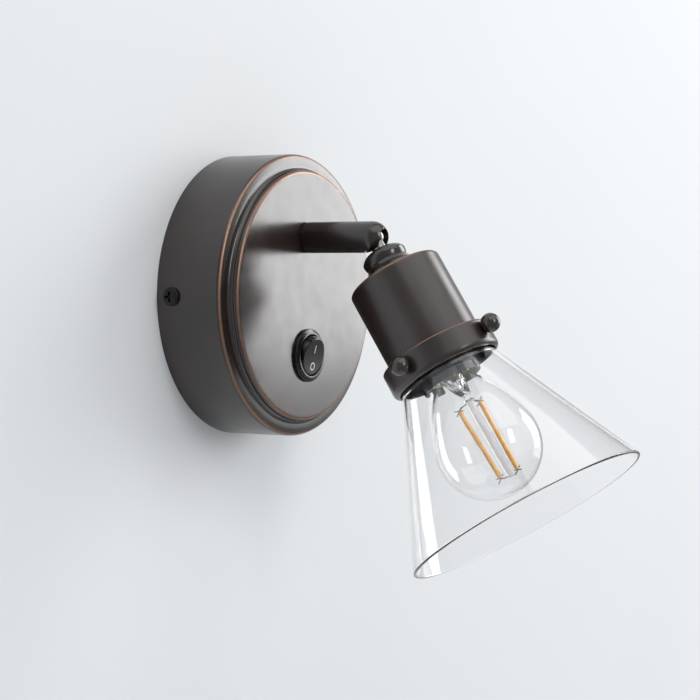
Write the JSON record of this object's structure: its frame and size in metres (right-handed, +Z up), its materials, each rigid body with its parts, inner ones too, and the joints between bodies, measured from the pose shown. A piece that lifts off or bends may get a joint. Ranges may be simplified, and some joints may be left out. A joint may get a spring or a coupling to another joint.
{
  "type": "bedside wall reading lamp",
  "caption": "Wall lamp with a round canopy and rocker switch, a swivelling arm, a ball-jointed head and a conical clear glass shade.",
  "frame": {"origin": "centre of the canopy on the wall plane, between the two wall screw slots", "axes": "+Y into the wall, so the lamp stands out along -Y; +Z up; +X to the right as the lamp is seen from the room, square to both"},
  "size_m": [0.1314, 0.193, 0.1859],
  "materials": {
    "bronze_enamel": "satin dark bronze paint, rubbed to copper along the edges",
    "black_steel": "blackened steel screws",
    "zinc_steel": "bright zinc plate",
    "nickel": "nickel plate",
    "brass": "turned and stamped brass",
    "black_bakelite": "moulded black thermoset, fine matt",
    "switch_plastic": "moulded black nylon, fine spark texture",
    "natural_nylon": "natural nylon",
    "clear_glass": "clear, fire polished",
    "bulb_clear_glass": "thin clear bulb glass",
    "filament_coating": "yellow phosphor silicone over a ceramic strip",
    "pillar_glass": "milky clear glass rod",
    "brown_insulation": "brown wire insulation",
    "blue_insulation": "blue wire insulation",
    "green_yellow_insulation": "green and yellow wire insulation"
  },
  "bodies": {
    "canopy_body": {"canopy": "bronze_enamel", "mounting_bracket": "zinc_steel", "canopy_side_screws": "black_steel", "earth_screw": "brass", "earth_ring_tag": "nickel", "terminal_block": "natural_nylon", "terminal_barrels": "brass", "terminal_screws": "zinc_steel", "live_wire": "brown_insulation", "switched_wire": "brown_insulation", "neutral_wire": "blue_insulation", "earth_wire": "green_yellow_insulation", "switch_housing": "switch_plastic", "rocker_pivot_pin": "zinc_steel", "switch_blades": "brass", "switch_receptacles": "nickel", "arm_stop_pin": "zinc_steel"},
    "rocker_body": {"rocker": "switch_plastic"},
    "arm_body": {"arm_tube": "bronze_enamel", "arm_nipple": "zinc_steel", "arm_glide_washer": "switch_plastic", "arm_stop_washer": "zinc_steel", "arm_spring_washer": "zinc_steel", "arm_nut": "zinc_steel", "disc_springs": "zinc_steel", "ball_seat_bush": "natural_nylon"},
    "head_body": {"swivel_ball": "nickel", "swivel_collar": "bronze_enamel", "socket_cup": "bronze_enamel", "cup_lock_washer": "zinc_steel", "cup_nut": "zinc_steel", "fitter_ring": "bronze_enamel", "glass_shade": "clear_glass", "holder_cap": "black_bakelite", "holder_body": "black_bakelite", "holder_shade_nut": "black_bakelite", "holder_insert": "black_bakelite", "holder_terminals": "brass", "thread_shell": "brass", "centre_contact": "brass", "bulb_glass": "bulb_clear_glass", "bulb_cap": "nickel", "bulb_insulator": "black_bakelite", "bulb_tip": "nickel", "bulb_stem": "bulb_clear_glass", "bulb_pillar": "pillar_glass", "filaments": "filament_coating", "filament_wires": "nickel", "live_lead": "brown_insulation", "neutral_lead": "blue_insulation"},
    "thumbscrew_1_body": {"thumbscrew_1": "bronze_enamel"},
    "thumbscrew_2_body": {"thumbscrew_2": "bronze_enamel"},
    "thumbscrew_3_body": {"thumbscrew_3": "bronze_enamel"}
  },
  "joints": [
    {"name": "arm_swivel", "type": "hinge", "parent": "canopy_body", "child": "arm_body", "pos_m": [0, -0.0372, 0.026], "axis": [0, -1, 0], "range_deg": [-169, 169]},
    {"name": "head_tilt", "type": "hinge", "parent": "arm_body", "child": "head_body", "pos_m": [0, -0.0711, 0.026], "axis": [1, 0, 0], "range_deg": [-57.4, 32.6]},
    {"name": "rocker_tilt", "type": "hinge", "parent": "canopy_body", "child": "rocker_body", "pos_m": [0, -0.0376, -0.027], "axis": [1, 0, 0], "range_deg": [-24, 0]},
    {"name": "thumbscrew_1_travel", "type": "slide", "parent": "head_body", "child": "thumbscrew_1_body", "axis": [-0.9903, 0.1172, -0.075], "range_m": [0, 0.0035]},
    {"name": "thumbscrew_2_travel", "type": "slide", "parent": "head_body", "child": "thumbscrew_2_body", "axis": [0.7604, 0.5471, -0.3499], "range_m": [0, 0.0035]},
    {"name": "thumbscrew_3_travel", "type": "slide", "parent": "head_body", "child": "thumbscrew_3_body", "axis": [-0.0175, -0.8423, 0.5387], "range_m": [0, 0.0035]}
  ]
}
